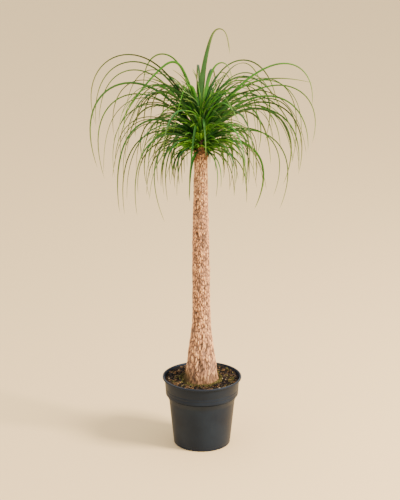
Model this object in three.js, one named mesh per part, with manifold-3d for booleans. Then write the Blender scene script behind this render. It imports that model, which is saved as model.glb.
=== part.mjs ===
// Potted ponytail palm: a nursery pot of potting mix, a corky trunk with a swollen foot,
// and a head of long strap leaves. Millimetres, +Z up, origin at the middle of the pot's underside.
import * as THREE from 'three';
import { mergeVertices } from 'three/addons/utils/BufferGeometryUtils.js';
import Module from 'manifold-3d';

const wasm = await Module();
wasm.setup();

// Every round piece has the same number of sides, so that the facets of neighbours line up.
const SIDES = 40;
const GAP = 0.3;

// Pot: a 24 cm nursery pot.
const POT_HEIGHT = 216;
const RIM_RADIUS = 120;
const WALL = 2.2;
const FLOOR = 3;
const FOOT_RADIUS = 86.2;
const FOOT_HEIGHT = 10;
const FOOT_ROUNDING = 4;
const BODY_FOOT_RADIUS = 87.2;
const BODY_FOOT_Z = 12;
const BODY_TOP_RADIUS = 99.6;
const BODY_TOP_Z = 142;
const COLLAR_FOOT_RADIUS = 108.6;
const COLLAR_FOOT_Z = 159;
const COLLAR_TOP_RADIUS = 112.2;
const LIP_THICKNESS = 6;
const LIP_ROUNDING = 1.5;
const LIP_WIDTH = 4.8;
const FLARE_HEIGHT = 10;
const DRAIN_COUNT = 6;
const DRAIN_RADIUS = 5.5;
const DRAIN_CIRCLE = 55;
const NOTCH_RADIUS = 4.5;
const NOTCH_LENGTH = 24;
const NOTCH_TURN = -114;

// Potting mix.
const SOIL_TOP = 206;
const SOIL_BUMP = 1.5;
const SOIL_MOUND = 3;
const SOIL_RINGS = [104, 90, 76, 50];
const CHIP_COUNT = 26;
const CHIP_INNER = 76;
const CHIP_OUTER = 99;
const CHIP_SEED = 77;

// Trunk: its foot is under the soil, its top carries the leaves. It stands a little off the pot's middle.
const TRUNK_X = -3;
const TRUNK_BOTTOM = 95;
const TRUNK_TOP = 920;
const TRUNK_LEAN = -3.5;
const BARK_RELIEF = 0.8;
const BARK_RINGS = 29;
const BARK_FROM = 216;

// Radius against height: the part in the soil, then the swollen foot, the taper and the slim top.
const BURIED_PROFILE = [[46, TRUNK_BOTTOM], [54, 120], [58.5, 160], [58.5, 205]];
const TRUNK_PROFILE = [
  [57.2, BARK_FROM - 4], [55.5, BARK_FROM], [44, 264], [37.6, 300], [31.6, 345], [28, 378], [25.8, 430],
  [25, 560], [22.3, 690], [20.2, 770], [18.4, 850], [17.9, TRUNK_TOP],
];

// Head of leaves.
const HEAD_BOTTOM = TRUNK_TOP + GAP;
const HIGHEST_ROOT = 987;
const LOWEST_ROOT = 926;
const CORE_PROFILE = [[18, HEAD_BOTTOM], [32, 940], [35, 967], [30, 992], [17, 1014]];
const CORE_TOP = 1024;
const CORE_SIDES = 12;
const LEAF_STATIONS = 6;
const PATH_STEPS = 60;
const KEEL_AT_ROOT = 1.9;
const KEEL_AT_TIP = 0.9;
const TYPICAL_WIDTH = 10.5;
const LEAF_SEED = 20260;
const SCATTERED_LEAVES = 150;
// Seen from the front, at -90 degrees, the leaves part to either side of the trunk by this angle.
const PARTING = 20;
const GOLDEN_ANGLE = 137.508;

// The leaves that give the head its outline, one a line: direction, height of the root, angle at which the
// leaf leaves the head, angle of its tip, length, place of the bend from 0 to 1, softness of the bend,
// share of the turn that is spread evenly, width. Angles in degrees, 0 along +X, -90 towards the front.
const OUTLINE_LEAVES = [
  [0, 964, 103, -84, 428, 0.79, 0.02, 0.27, 17],
  [180, 977, 71, -108, 620, 0.63, 0.13, 0.12, 11],
  [182, 977, 69, -92, 540, 0.6, 0.11, 0.2, 10],
  [172, 977, 82, -88, 405, 0.68, 0.07, 0.15, 12],
  [178, 970, 66, -88, 480, 0.64, 0.1, 0.25, 10],
  [184, 967, 59, -99, 530, 0.52, 0.12, 0.25, 12],
  [178, 960, 57, -102, 540, 0.5, 0.12, 0.25, 10],
  [190, 980, 84, -86, 630, 0.37, 0.04, 0.45, 12],
  [188, 947, 50, -98, 485, 0.36, 0.1, 0.3, 12],
  [190, 940, 41, -98, 430, 0.36, 0.12, 0.3, 10],
  [203, 940, 42, -99, 395, 0.34, 0.12, 0.3, 10],
  [208, 932, 38, -114, 365, 0.3, 0.1, 0.3, 12],
  [225, 930, 25, -75, 190, 0.45, 0.12, 0.3, 10],
  [230, 928, 12, -92, 190, 0.35, 0.12, 0.3, 10],
  [250, 928, 5, -95, 215, 0.3, 0.12, 0.3, 14],
  [10, 980, 86, -84, 470, 0.62, 0.1, 0.45, 10],
  [2, 974, 63, -94, 498, 0.74, 0.08, 0.35, 10],
  [-8, 970, 72, -24, 395, 0.5, 0.15, 0.5, 10],
  [0, 967, 56, -108, 515, 0.68, 0.11, 0.4, 9],
  [-3, 964, 56, -92, 455, 0.62, 0.12, 0.4, 11],
  [-6, 960, 54, -105, 510, 0.47, 0.12, 0.35, 10],
  [-6, 954, 52, -112, 465, 0.48, 0.12, 0.35, 13],
  [-12, 947, 32, -112, 450, 0.5, 0.12, 0.35, 10],
  [-8, 947, 36, -110, 398, 0.5, 0.12, 0.35, 10],
  [-14, 937, 25, -115, 350, 0.45, 0.12, 0.35, 15],
  [-25, 929, 7, -95, 245, 0.45, 0.12, 0.35, 12],
  [-40, 928, 8, -90, 200, 0.42, 0.12, 0.35, 12],
  [-60, 928, 8, -108, 190, 0.38, 0.12, 0.35, 10],
];

const radians = (degrees) => degrees * Math.PI / 180;

// A seeded draw from -1 to 1, the same on every run.
function seededDraw(seed) {
  let state = seed;
  return () => {
    state = (state * 1664525 + 1013904223) % 4294967296;
    return state / 4294967296 * 2 - 1;
  };
}

function merged(geometry) {
  geometry.deleteAttribute('normal');
  geometry.deleteAttribute('uv');
  return mergeVertices(geometry, 1e-4);
}

function solidOf(geometry) {
  const vertProperties = new Float32Array(geometry.attributes.position.array);
  const triVerts = new Uint32Array(geometry.index.array);
  return new wasm.Manifold(new wasm.Mesh({ numProp: 3, vertProperties, triVerts }));
}

function geometryOf(solid) {
  const mesh = solid.getMesh();
  const geometry = new THREE.BufferGeometry();
  geometry.setAttribute('position', new THREE.BufferAttribute(mesh.vertProperties, 3));
  geometry.setIndex(new THREE.BufferAttribute(mesh.triVerts, 1));
  return geometry;
}

// The biggest body of a solid. Loose scraps and the walls of sealed hollows are left out of it.
function mainBody(solid) {
  const bodies = solid.decompose();
  return bodies.reduce((best, body) => (body.volume() > best.volume() ? body : best));
}

// Turns a profile of [radius, height] points round the Z axis. The profile runs from the axis at the
// bottom, up the outside, and back to the axis.
function turnedGeometry(profile, sides = SIDES) {
  const points = profile.map(([radius, height]) => new THREE.Vector2(radius, height));
  const geometry = new THREE.LatheGeometry(points, sides);
  geometry.rotateX(Math.PI / 2);
  return merged(geometry);
}

function named(name, geometry, color, roughness) {
  geometry.computeVertexNormals();
  const material = new THREE.MeshStandardMaterial({ color, roughness, metalness: 0, flatShading: true });
  const mesh = new THREE.Mesh(geometry, material);
  mesh.name = name;
  return mesh;
}

// Pot

const LIP_UNDERSIDE = POT_HEIGHT - LIP_THICKNESS;
const FLARE_FOOT_Z = POT_HEIGHT - FLARE_HEIGHT;

function potSolid() {
  const foot = [
    [0, 0],
    [FOOT_RADIUS - FOOT_ROUNDING, 0],
    [FOOT_RADIUS - 0.3 * FOOT_ROUNDING, 0.3 * FOOT_ROUNDING],
    [FOOT_RADIUS, FOOT_ROUNDING],
    [FOOT_RADIUS, FOOT_HEIGHT],
  ];
  const side = [
    [BODY_FOOT_RADIUS, BODY_FOOT_Z],
    [BODY_TOP_RADIUS, BODY_TOP_Z],
    [COLLAR_FOOT_RADIUS, COLLAR_FOOT_Z],
    [COLLAR_TOP_RADIUS, LIP_UNDERSIDE],
  ];
  const lip = [
    [RIM_RADIUS - LIP_ROUNDING, LIP_UNDERSIDE],
    [RIM_RADIUS, LIP_UNDERSIDE + LIP_ROUNDING],
    [RIM_RADIUS, POT_HEIGHT - LIP_ROUNDING],
    [RIM_RADIUS - LIP_ROUNDING, POT_HEIGHT],
    [RIM_RADIUS - LIP_WIDTH, POT_HEIGHT],
  ];
  let solid = solidOf(turnedGeometry([...foot, ...side, ...lip, ...innerWall().reverse(), [0, FLOOR]]));
  for (let i = 0; i < DRAIN_COUNT; i += 1) {
    solid = solid.subtract(drainHole(i));
    solid = solid.subtract(edgeNotch(i));
  }
  return solid;
}

// The inside of the wall from the floor to where it flares out into the lip.
function innerWall() {
  return [
    [FOOT_RADIUS - WALL, FLOOR],
    [FOOT_RADIUS - WALL, BODY_FOOT_Z - 1],
    [BODY_FOOT_RADIUS - WALL, BODY_FOOT_Z + 1],
    [BODY_TOP_RADIUS - WALL, BODY_TOP_Z + 1],
    [COLLAR_FOOT_RADIUS - WALL, COLLAR_FOOT_Z + 1],
    [COLLAR_TOP_RADIUS - WALL, FLARE_FOOT_Z],
  ];
}

function drainHole(index) {
  const hole = merged(new THREE.CylinderGeometry(DRAIN_RADIUS, DRAIN_RADIUS, 4 * FLOOR, 12));
  hole.rotateX(Math.PI / 2);
  hole.translate(DRAIN_CIRCLE, 0, 0);
  hole.rotateZ(radians(NOTCH_TURN + (index + 0.5) * 360 / DRAIN_COUNT));
  return solidOf(hole);
}

// A half-round notch in the edge of the foot, where water runs out when the pot stands on a flat surface.
function edgeNotch(index) {
  const notch = merged(new THREE.CylinderGeometry(NOTCH_RADIUS, NOTCH_RADIUS, NOTCH_LENGTH, 10));
  notch.rotateZ(Math.PI / 2);
  notch.translate(FOOT_RADIUS, 0, 0);
  notch.rotateZ(radians(NOTCH_TURN + index * 360 / DRAIN_COUNT));
  return solidOf(notch);
}

// Trunk

function trunkRadius(height) {
  const above = Math.max(1, TRUNK_PROFILE.findIndex(([, z]) => z >= height));
  const [lowRadius, lowZ] = TRUNK_PROFILE[above - 1];
  const [highRadius, highZ] = TRUNK_PROFILE[above];
  return THREE.MathUtils.mapLinear(height, lowZ, highZ, lowRadius, highRadius);
}

function trunkGeometry() {
  const rings = [];
  for (let i = 0; i <= BARK_RINGS; i += 1) {
    const height = THREE.MathUtils.lerp(BARK_FROM, TRUNK_TOP, i / BARK_RINGS);
    rings.push([trunkRadius(height), height]);
  }
  const geometry = turnedGeometry([[0, TRUNK_BOTTOM], ...BURIED_PROFILE, ...rings, [0, TRUNK_TOP]]);
  const position = geometry.attributes.position;
  for (let i = 0; i < position.count; i += 1) {
    roughenBark(position, i);
  }
  return geometry;
}

// Ridges of cork that run up the trunk and wander a little, over a gentle lean.
function roughenBark(position, i) {
  const x = position.getX(i);
  const y = position.getY(i);
  const z = position.getZ(i);
  const radius = Math.hypot(x, y);
  if (radius > 1 && z > BARK_FROM + 1 && z < TRUNK_TOP - 1) {
    const turn = Math.atan2(y, x);
    const ridges = Math.sin(9 * turn + 2 * Math.sin(z / 55)) + 0.7 * Math.sin(5 * turn - z / 23);
    const scale = 1 + BARK_RELIEF * ridges / radius;
    position.setXY(i, x * scale, y * scale);
  }
  const share = THREE.MathUtils.clamp((z - BARK_FROM) / (TRUNK_TOP - BARK_FROM), 0, 1);
  position.setX(i, position.getX(i) + TRUNK_X + TRUNK_LEAN * Math.sin(Math.PI * share));
}

// Soil

function soilSolid() {
  const profile = [
    [0, FLOOR + GAP],
    ...innerWall().map(([radius, z]) => [radius - GAP, Math.max(z, FLOOR + GAP)]),
    ...SOIL_RINGS.map((radius) => [radius, SOIL_TOP]),
    [0, SOIL_TOP],
  ];
  const geometry = turnedGeometry(profile);
  const position = geometry.attributes.position;
  for (let i = 0; i < position.count; i += 1) {
    if (Math.abs(position.getZ(i) - SOIL_TOP) < 0.01) {
      position.setZ(i, soilHeight(position.getX(i), position.getY(i)));
    }
  }
  const draw = seededDraw(CHIP_SEED);
  let solid = solidOf(geometry);
  for (let i = 0; i < CHIP_COUNT; i += 1) {
    solid = solid.add(barkChip(draw));
  }
  return mainBody(solid.subtract(trunkHole()));
}

// The room that the foot of the trunk takes in the soil.
function trunkHole() {
  const around = BURIED_PROFILE.map(([radius, z], i) => [radius + GAP, i === 0 ? z - GAP : z]);
  const widest = BURIED_PROFILE.at(-1)[0] + GAP;
  const hole = turnedGeometry([[0, TRUNK_BOTTOM - GAP], ...around, [widest, POT_HEIGHT], [0, POT_HEIGHT]]);
  hole.translate(TRUNK_X, 0, 0);
  return solidOf(hole);
}

// The top of the soil: low mounds, highest beside the trunk.
function soilHeight(x, y) {
  const fromTrunk = Math.hypot(x - TRUNK_X, y);
  const mounds = Math.sin(x / 11 + 1.3) * Math.cos(y / 13 - 0.4) + 0.6 * Math.sin((x - y) / 7);
  return SOIL_TOP + SOIL_BUMP * mounds + SOIL_MOUND * THREE.MathUtils.clamp((84 - fromTrunk) / 24, 0, 1);
}

// A flake of pine bark that lies half sunk in the soil.
function barkChip(draw) {
  const radius = THREE.MathUtils.mapLinear(draw(), -1, 1, CHIP_INNER, CHIP_OUTER);
  const turn = Math.PI * draw();
  const x = radius * Math.cos(turn);
  const y = radius * Math.sin(turn);
  const chip = merged(new THREE.BoxGeometry(10 + 3 * draw(), 6 + 2 * draw(), 4.5 + draw()));
  chip.rotateX(0.3 * draw());
  chip.rotateY(0.3 * draw());
  chip.rotateZ(Math.PI * draw());
  chip.translate(x, y, soilHeight(x, y) + 0.4);
  return solidOf(chip);
}

// Head of leaves

// How much of a leaf's turn, from 0 to 1, is behind it at t, from 0 at the root to 1 at the tip.
function turnedShare(t, bendAt, softness, evenShare) {
  const logistic = (x) => 1 / (1 + Math.exp(-x));
  const low = logistic(-bendAt / softness);
  const high = logistic((1 - bendAt) / softness);
  const bend = (logistic((t - bendAt) / softness) - low) / (high - low);
  return evenShare * t + (1 - evenShare) * bend;
}

// An older leaf has a lower root, leaves the head at a flatter angle and hangs further down.
function scatteredLeaf(index, draw) {
  const age = (index + 0.5) / SCATTERED_LEAVES;
  const azimuth = index * GOLDEN_ANGLE + 9 * draw();
  const fromFront = THREE.MathUtils.euclideanModulo(azimuth + 270, 360) - 180;
  const parted = Math.abs(fromFront) + PARTING * (1 + Math.cos(radians(fromFront))) / 2;
  const facing = Math.max(0, Math.cos(radians(parted)));
  const grown = Math.min(1, age / 0.3);
  const spent = Math.max(0, (age - 0.35) / 0.65);
  const launch = Math.max(-3, 86 - 84 * age ** 1.2 + 6 * draw());
  const length = (215 + 320 * grown - 350 * spent) * (1 + 0.2 * draw()) * (1 - 0.28 * facing);
  return {
    azimuth: Math.sign(fromFront) * parted - 90,
    root: THREE.MathUtils.lerp(HIGHEST_ROOT, LOWEST_ROOT, age),
    launch,
    tip: -30 - 66 * grown + 14 * draw(),
    length,
    bendAt: 0.6 - 0.2 * age + 0.06 * draw(),
    softness: 0.12 + 0.03 * draw(),
    evenShare: 0.3 + 0.12 * draw(),
    drift: 16 * draw(),
    width: TYPICAL_WIDTH + 2 * draw(),
    roll: 22 * draw(),
  };
}

function outlineLeaf([azimuth, root, launch, tip, length, bendAt, softness, evenShare, width]) {
  return { azimuth, root, launch, tip, length, bendAt, softness, evenShare, drift: 0, width, roll: 0 };
}

// Points along the middle of a leaf, in small equal steps.
function leafPath(leaf) {
  const start = radians(leaf.azimuth);
  const rootRadius = 4 + (HIGHEST_ROOT - leaf.root) / 10;
  const rootX = TRUNK_X + rootRadius * Math.cos(start);
  const point = new THREE.Vector3(rootX, rootRadius * Math.sin(start), leaf.root);
  const step = leaf.length / PATH_STEPS;
  const points = [point.clone()];
  for (let i = 0; i < PATH_STEPS; i += 1) {
    const t = (i + 0.5) / PATH_STEPS;
    point.addScaledVector(leafDirection(leaf, t), step);
    points.push(point.clone());
  }
  return points;
}

function leafDirection(leaf, t) {
  const share = turnedShare(t, leaf.bendAt, leaf.softness, leaf.evenShare);
  const climb = radians(leaf.launch + (leaf.tip - leaf.launch) * share);
  const heading = radians(leaf.azimuth + leaf.drift * t * t);
  const flat = Math.cos(climb);
  return new THREE.Vector3(flat * Math.cos(heading), flat * Math.sin(heading), Math.sin(climb));
}

// Places along a leaf, from 0 to 1, that lie closer together where the leaf bends.
function leafStations(leaf) {
  const stations = [0];
  for (let i = 1; i < PATH_STEPS; i += 1) {
    const t = i / PATH_STEPS;
    const share = turnedShare(t, leaf.bendAt, leaf.softness, leaf.evenShare);
    if (0.45 * t + 0.55 * share >= stations.length / LEAF_STATIONS) {
      stations.push(t);
    }
  }
  while (stations.length < LEAF_STATIONS) {
    stations.push((stations.at(-1) + 1) / 2);
  }
  return [...stations.slice(0, LEAF_STATIONS), 1];
}

// One strap leaf: a keeled blade of three sides that narrows to a point. It starts as a three-sided cone,
// whose rings are then moved to their places along the leaf's path.
function leafSolid(leaf) {
  const path = leafPath(leaf);
  const stations = leafStations(leaf);
  const cone = merged(new THREE.ConeGeometry(1, 1, 3, LEAF_STATIONS));
  const position = cone.attributes.position;
  for (let i = 0; i < position.count; i += 1) {
    const ring = Math.round((position.getY(i) + 0.5) * LEAF_STATIONS);
    const across = Math.sign(Math.round(position.getX(i) * 100));
    const isKeel = position.getZ(i) > 0.01;
    placeOnLeaf(position, i, leaf, path, stations[ring], across, isKeel);
  }
  return solidOf(cone);
}

// The width of a leaf at t, as a share of its full width.
function widthShare(t) {
  return t < 1 ? 0.16 + 0.84 * (1 - t) ** 0.9 : 0;
}

function placeOnLeaf(position, i, leaf, path, t, across, isKeel) {
  const direction = leafDirection(leaf, t);
  const heading = radians(leaf.azimuth + leaf.drift * t * t);
  const side = new THREE.Vector3(-Math.sin(heading), Math.cos(heading), 0);
  side.applyAxisAngle(direction, radians(leaf.roll));
  const down = new THREE.Vector3().crossVectors(side, direction);
  const keel = isKeel && t < 1 ? THREE.MathUtils.lerp(KEEL_AT_ROOT, KEEL_AT_TIP, t) : 0;
  const place = path[Math.round(t * PATH_STEPS)].clone();
  place.addScaledVector(side, across * leaf.width * widthShare(t) / 2);
  place.addScaledVector(down, keel);
  position.setXYZ(i, place.x, place.y, place.z);
}

// The growing point that the leaves stand on, hidden between them.
function headCore() {
  const core = turnedGeometry([[0, HEAD_BOTTOM], ...CORE_PROFILE, [0, CORE_TOP]], CORE_SIDES);
  core.translate(TRUNK_X, 0, 0);
  return solidOf(core);
}

function headSolid() {
  const draw = seededDraw(LEAF_SEED);
  const leaves = OUTLINE_LEAVES.map(outlineLeaf);
  for (let i = 0; i < SCATTERED_LEAVES; i += 1) {
    leaves.push(scatteredLeaf(i, draw));
  }
  const whole = leaves.map(leafSolid).reduce((head, leaf) => head.add(leaf), headCore());
  return mainBody(whole);
}

const palm = new THREE.Group();
palm.add(named('pot', geometryOf(potSolid()), 0x3c3c3e, 0.45));
palm.add(named('soil', geometryOf(soilSolid()), 0x66543a, 0.95));
palm.add(named('trunk', trunkGeometry(), 0xc8a384, 0.9));
palm.add(named('leaf_crown', geometryOf(headSolid()), 0x3f6b20, 0.5));

export default palm;
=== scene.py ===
# %% [markdown]
# # A potted ponytail palm
#
# The plant is a corky trunk with a swollen foot, a head of long strap leaves, and a black nursery pot full of
# peat and bark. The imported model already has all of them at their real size, as plain faceted solids. This
# lesson keeps those sizes and makes each piece again with the surface that the real one shows.
#
# Lengths are written in millimetres, as on the real plant, and turned to metres where a mesh is made.

# %% The frame
import math

import bmesh
import bpy
from mathutils import Matrix, Vector, noise


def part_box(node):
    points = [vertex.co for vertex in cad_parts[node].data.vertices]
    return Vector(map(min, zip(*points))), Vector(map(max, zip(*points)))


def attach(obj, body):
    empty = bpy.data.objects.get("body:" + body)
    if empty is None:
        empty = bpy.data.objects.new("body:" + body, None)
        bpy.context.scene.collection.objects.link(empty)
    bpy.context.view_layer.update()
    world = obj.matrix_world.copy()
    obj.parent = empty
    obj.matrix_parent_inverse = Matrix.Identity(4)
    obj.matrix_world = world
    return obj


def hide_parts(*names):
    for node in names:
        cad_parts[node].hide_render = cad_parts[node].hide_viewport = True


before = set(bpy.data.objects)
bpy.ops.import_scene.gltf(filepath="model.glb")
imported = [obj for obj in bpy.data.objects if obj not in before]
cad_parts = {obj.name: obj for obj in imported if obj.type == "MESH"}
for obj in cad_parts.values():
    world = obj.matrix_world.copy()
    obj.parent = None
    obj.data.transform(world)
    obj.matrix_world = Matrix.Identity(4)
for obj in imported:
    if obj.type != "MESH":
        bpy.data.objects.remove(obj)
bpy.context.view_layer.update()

MM = 0.001

pot_low, pot_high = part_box("pot")
trunk_low, trunk_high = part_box("trunk")

# %% [markdown]
# ## Helpers
#
# Colours are easier to read as the sRGB hex codes that a paint program shows, but the shaders work in linear
# light, so one function turns one into the other. Another adds a node with its settings, and a third feeds
# values and links to a node, such as the shader that every new material starts with.

# %% Colours and nodes
def linear(hex_code):
    """The linear colour for an sRGB hex code such as #3f6b20."""
    parts = [int(hex_code[i:i + 2], 16) / 255 for i in (1, 3, 5)]
    return [p / 12.92 if p <= 0.04045 else ((p + 0.055) / 1.055) ** 2.4 for p in parts] + [1.0]


def feed(node, inputs):
    """Gives a node its inputs: a value goes on the socket, and another node's output is linked to it."""
    for name, value in inputs.items():
        if isinstance(value, bpy.types.NodeSocket):
            node.id_data.links.new(value, node.inputs[name])
        else:
            node.inputs[name].default_value = value


def add_node(material, kind, inputs=None, stops=None, **settings):
    """Adds a node with its settings and inputs. Stops are a colour ramp's places and hex colours."""
    node = material.node_tree.nodes.new(kind)
    for name, value in settings.items():
        setattr(node, name, value)
    feed(node, inputs or {})
    for i, (place, colour) in enumerate(stops or []):
        element = node.color_ramp.elements[i] if i < 2 else node.color_ramp.elements.new(place)
        element.position = place
        element.color = linear(colour)
    return node


def new_material(name):
    """A material with its Principled shader."""
    material = bpy.data.materials.new(name)
    material.use_nodes = True
    return material, material.node_tree.nodes["Principled BSDF"]


print("sRGB mid grey is", round(linear("#808080")[0], 3), "in linear light")


# %% Draws and shares
def seeded_draw(seed):
    """Draws from -1 to 1 that come out the same on every run."""
    state = seed

    def draw():
        nonlocal state
        state = (state * 1664525 + 1013904223) % 4294967296
        return state / 4294967296 * 2 - 1

    return draw


def between(value, low, high):
    """How far a value is from low to high, kept from 0 to 1."""
    return min(1.0, max(0.0, (value - low) / (high - low)))


def mix(low, high, share):
    """The value at a share of the way from low to high."""
    return low + (high - low) * share


first_draw = seeded_draw(1)
print("three draws:", [round(first_draw(), 2) for _ in range(3)])


# %% Pieces
# Points closer than this, in mm, are merged into one.
SEAM = 0.005


def make_piece(name, bm, material, replaced=None, crease=60):
    """Turns a bmesh into a piece that rides on the plant, with smooth shading up to an angle of crease."""
    mesh = bpy.data.meshes.new(name)
    bm.to_mesh(mesh)
    bm.free()
    mesh.shade_smooth()
    mesh.set_sharp_from_angle(angle=math.radians(crease))
    mesh.materials.append(material)
    piece = bpy.data.objects.new(name, mesh)
    bpy.context.scene.collection.objects.link(piece)
    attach(piece, "root")
    if replaced:
        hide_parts(replaced)
    mesh.calc_loop_triangles()
    print(name, "has", len(mesh.loop_triangles), "triangles")


def spun(profile, steps):
    """A bmesh of a profile of (radius, height) points in mm, spun a full turn round the Z axis."""
    bm = bmesh.new()
    verts = [bm.verts.new((r * MM, 0, z * MM)) for r, z in profile]
    edges = [bm.edges.new(pair) for pair in zip(verts, verts[1:])]
    bmesh.ops.spin(bm, geom=verts + edges, axis=(0, 0, 1), cent=(0, 0, 0), dvec=(0, 0, 0),
                   angle=math.tau, steps=steps, use_merge=True, use_normal_flip=False, use_duplicate=False)
    bmesh.ops.remove_doubles(bm, verts=bm.verts, dist=SEAM * MM)
    bmesh.ops.recalc_face_normals(bm, faces=bm.faces)
    return bm


trial = spun([(10, 0), (12, 5), (9, 8)], 12)
print("a trial ring of two edges, spun in 12 steps, has", len(trial.faces), "faces")
trial.free()


# %% [markdown]
# ## The nursery pot
#
# The pot is moulded from black polypropylene. It is one thin wall: a foot that is set in a little, a tapered
# body, a slope that undercuts an upright collar, and a lip that turns out. It could be cut from a cylinder,
# but a profile spun round an axis gives all of it at once, with the wall's own thickness. The drains are cut
# with a Boolean modifier, because a hole through a wall is what it is for.
#
# The plastic is nearly black, so its form shows mostly in its broad, soft gloss. A fine grain keeps it from
# looking wet, and the top of the lip is painted a paler grey: a painted highlight, which also takes away the
# blue that the sky gives it.

# %% Pot material
# The top of the lip is painted a paler grey as a painted highlight. It starts 1.6 mm below the top and is
# full at 0.2 mm.
LIP_HIGHLIGHT_STARTS = pot_high.z - 1.6 * MM
LIP_HIGHLIGHT_FULL = pot_high.z - 0.2 * MM
DRAWN_GRAIN = 0.8


def polypropylene():
    """Injection-moulded polypropylene: satin and nearly black, with a painted highlight in paler grey on the
    top of the lip.
    """
    material, shader = new_material("injection-moulded polypropylene")
    place = add_node(material, "ShaderNodeTexCoord").outputs["Object"]
    dust = add_node(material, "ShaderNodeTexNoise", {"Vector": place, "Scale": 14.0, "Detail": 6.0})
    colour = add_node(material, "ShaderNodeValToRGB", {
        "Fac": dust.outputs["Fac"]}, stops=[(0.3, "#1c212a"), (0.75, "#232b35")])
    height = add_node(material, "ShaderNodeSeparateXYZ", {"Vector": place}).outputs["Z"]
    # A painted highlight: the top of the lip is mixed towards a paler grey.
    lip_highlight = add_node(material, "ShaderNodeMapRange", {
        "Value": height, "From Min": LIP_HIGHLIGHT_STARTS, "From Max": LIP_HIGHLIGHT_FULL, "To Max": 0.7})
    lip_highlighted = add_node(material, "ShaderNodeMix", {
        "Factor": lip_highlight.outputs["Result"], "B": linear("#34363a"), "A": colour.outputs["Color"]},
        data_type="RGBA")
    dull = add_node(material, "ShaderNodeMapRange", {
        "Value": dust.outputs["Fac"], "To Min": 0.36, "To Max": 0.52})
    # The real grain is about 0.1 mm and would vanish at this distance, so it is drawn larger.
    grain = add_node(material, "ShaderNodeTexNoise", {
        "Vector": place, "Scale": 1 / (DRAWN_GRAIN * MM), "Detail": 2.0})
    bump = add_node(material, "ShaderNodeBump", {
        "Height": grain.outputs["Fac"], "Strength": 0.12, "Distance": 0.1 * MM})
    feed(shader, {
        "Base Color": lip_highlighted.outputs["Result"], "Roughness": dull.outputs["Result"], "Normal":
        bump.outputs["Normal"], "IOR": 1.49, "Specular IOR Level": 0.15, "Specular Tint":
        linear("#b4caee")})
    return material


pot_plastic = polypropylene()
print("made", pot_plastic.name)

# %% Pot sizes
POT_HEIGHT = pot_high.z / MM
RIM = pot_high.x / MM
WALL = 2.2
FLOOR = 3
FOOT = 86.2
FOOT_HEIGHT = 10
FOOT_ROUNDING = 4
BODY_FOOT = (87.2, 12)
BODY_TOP = (100.3, 141)
COLLAR_FOOT = (110.2, 160)
COLLAR_TOP = 114
INNER_STEP = 3
LIP_Z = POT_HEIGHT - 6
LIP_WIDTH = 4.8
LIP_ROUNDINGS = (1.5, 2, 1)
FLARE_Z = POT_HEIGHT - 10
GROOVE_WIDTH = 2.8
GROOVE_DEPTH = 5.6
RING_HEIGHTS = (170, 179)
RING_HALF = 1.6
RING_DEPTH = 0.6
# The soft edge above the body, and the groove under the collar, as steps (out, up) from their corners.
BODY_EDGE = [(-0.4, -5), (0.1, -1), (1, 2)]
GROOVE = [(-3.4, -GROOVE_WIDTH - 0.6), (-4, -GROOVE_WIDTH), (-GROOVE_DEPTH, -GROOVE_WIDTH + 0.3),
          (-GROOVE_DEPTH, -1), (-0.6, -0.6)]
print("the pot is", round(POT_HEIGHT), "mm high and", round(2 * RIM), "mm across its rim")


# %% Pot profile
def arc(r, z, radius, start, end, count=5):
    """Points on a rounded edge round (r, z), between two angles in degrees."""
    angles = [math.radians(mix(start, end, i / (count - 1))) for i in range(count)]
    return [(r + radius * math.cos(a), z + radius * math.sin(a)) for a in angles]


def beside(corner, steps):
    """Points that lie a few steps from a corner of the profile."""
    return [(corner[0] + out, corner[1] + up) for out, up in steps]


def collar_radius(z):
    """The radius of the collar at a height."""
    return mix(COLLAR_FOOT[0], COLLAR_TOP, between(z, COLLAR_FOOT[1], LIP_Z))


def collar_rings():
    """Two faint rings that the mould leaves on the collar."""
    points = []
    for z in RING_HEIGHTS:
        points += [(collar_radius(z - RING_HALF), z - RING_HALF), (collar_radius(z) - RING_DEPTH, z),
                   (collar_radius(z + RING_HALF), z + RING_HALF)]
    return points


def outer_wall():
    """The wall from the middle of the underside, up the outside and over the lip."""
    foot = [(0, 0), (FOOT - FOOT_ROUNDING - 2, 0),
            *arc(FOOT - FOOT_ROUNDING, FOOT_ROUNDING, FOOT_ROUNDING, -90, 0), (FOOT, FOOT_HEIGHT - 0.5)]
    body = [*arc(BODY_FOOT[0] - 1, BODY_FOOT[1], 1, -60, 0, 4), *beside(BODY_TOP, BODY_EDGE)]
    collar = [*beside(COLLAR_FOOT, GROOVE), COLLAR_FOOT, *collar_rings(), (COLLAR_TOP, LIP_Z - 0.4)]
    under, over, within = LIP_ROUNDINGS
    lip = [(COLLAR_TOP + 0.5, LIP_Z), *arc(RIM - under, LIP_Z + under, under, -90, 0),
           *arc(RIM - over, POT_HEIGHT - over, over, 0, 90),
           *arc(RIM - LIP_WIDTH + within, POT_HEIGHT - within, within, 90, 160, 4)]
    return foot + body + collar + lip


def inner_wall():
    """The wall from the lip down the inside to the middle of the floor."""
    edge_r, edge_z = COLLAR_FOOT
    return [(COLLAR_TOP - WALL, FLARE_Z), (edge_r - WALL, edge_z + INNER_STEP),
            (edge_r - GROOVE_DEPTH - WALL, edge_z), (BODY_TOP[0] - WALL, BODY_TOP[1] + 1),
            (BODY_FOOT[0] - WALL, BODY_FOOT[1] + 1), (FOOT - WALL, BODY_FOOT[1] - 1),
            (FOOT - WALL, FLOOR), (0, FLOOR)]


pot_profile = outer_wall() + inner_wall()
print("the pot's profile has", len(pot_profile), "points")

# %% Drains
DRAINS = 6
DRAIN_RADIUS = 5.5
DRAIN_CIRCLE = 55
DRAIN_SIDES = 24
NOTCH_RADIUS = 4.5
NOTCH_LENGTH = 24
FIRST_NOTCH = -114
POT_STEPS = 144


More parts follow.
